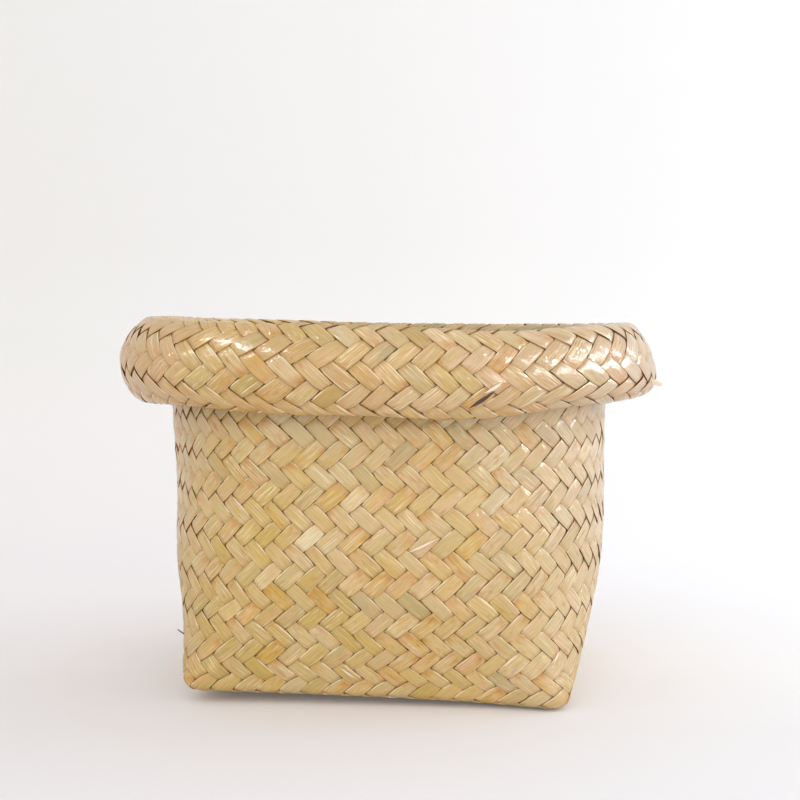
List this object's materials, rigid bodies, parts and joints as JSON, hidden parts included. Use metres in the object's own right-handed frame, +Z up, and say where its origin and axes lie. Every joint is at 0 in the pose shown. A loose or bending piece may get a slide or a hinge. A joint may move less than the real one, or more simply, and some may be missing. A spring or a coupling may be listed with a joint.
{
  "type": "planter basket",
  "caption": "Soft open basket of bias-plaited flat strips, square at the base and round at the mouth, with a turned-down collar, used to hide a plant pot.",
  "frame": {"origin": "on the floor under the middle of the square mat", "axes": "+Z up out of the mouth, -Y towards the front side, +X to the right side"},
  "size_m": [0.1828, 0.1828, 0.12],
  "materials": {
    "mat": "satin lacquered sedge plaiting",
    "wall": "satin lacquered sedge plaiting",
    "collar": "glossy lacquered sedge plaiting",
    "hem": "satin lacquered sedge plaiting"
  },
  "bodies": {
    "root": {"base_mat": "mat", "side_front": "wall", "side_right": "wall", "side_back": "wall", "side_left": "wall", "collar_front": "collar", "collar_right": "collar", "collar_back": "collar", "collar_left": "collar", "hem_front": "hem", "hem_right": "hem", "hem_back": "hem", "hem_left": "hem"}
  },
  "joints": []
}
